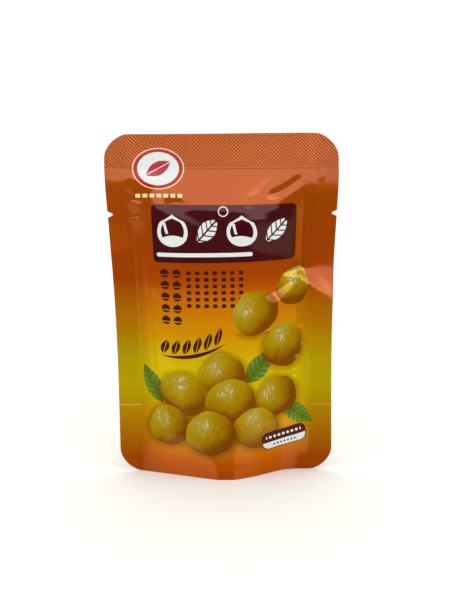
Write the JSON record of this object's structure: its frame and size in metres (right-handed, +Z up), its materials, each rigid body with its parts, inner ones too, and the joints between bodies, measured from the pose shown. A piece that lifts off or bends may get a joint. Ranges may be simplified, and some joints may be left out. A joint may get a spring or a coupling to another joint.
{
  "type": "stand-up snack pouch",
  "caption": "Small filled foil stand-up pouch, sealed shut, with flat crimped seals, rounded corners, tear notches and an opened bottom gusset that it stands on.",
  "frame": {"origin": "on the ground in the middle of the pouch, at the bottom centre of its box", "axes": "+Z up the pouch to its top seal, -Y out of its printed front, X across it"},
  "size_m": [0.0901, 0.0268, 0.136],
  "materials": {
    "printed_film": "glossy printed metallised laminate, orange at the top and the foot and yellow across the middle"
  },
  "bodies": {
    "root": {"pouch": "printed_film"}
  },
  "joints": []
}
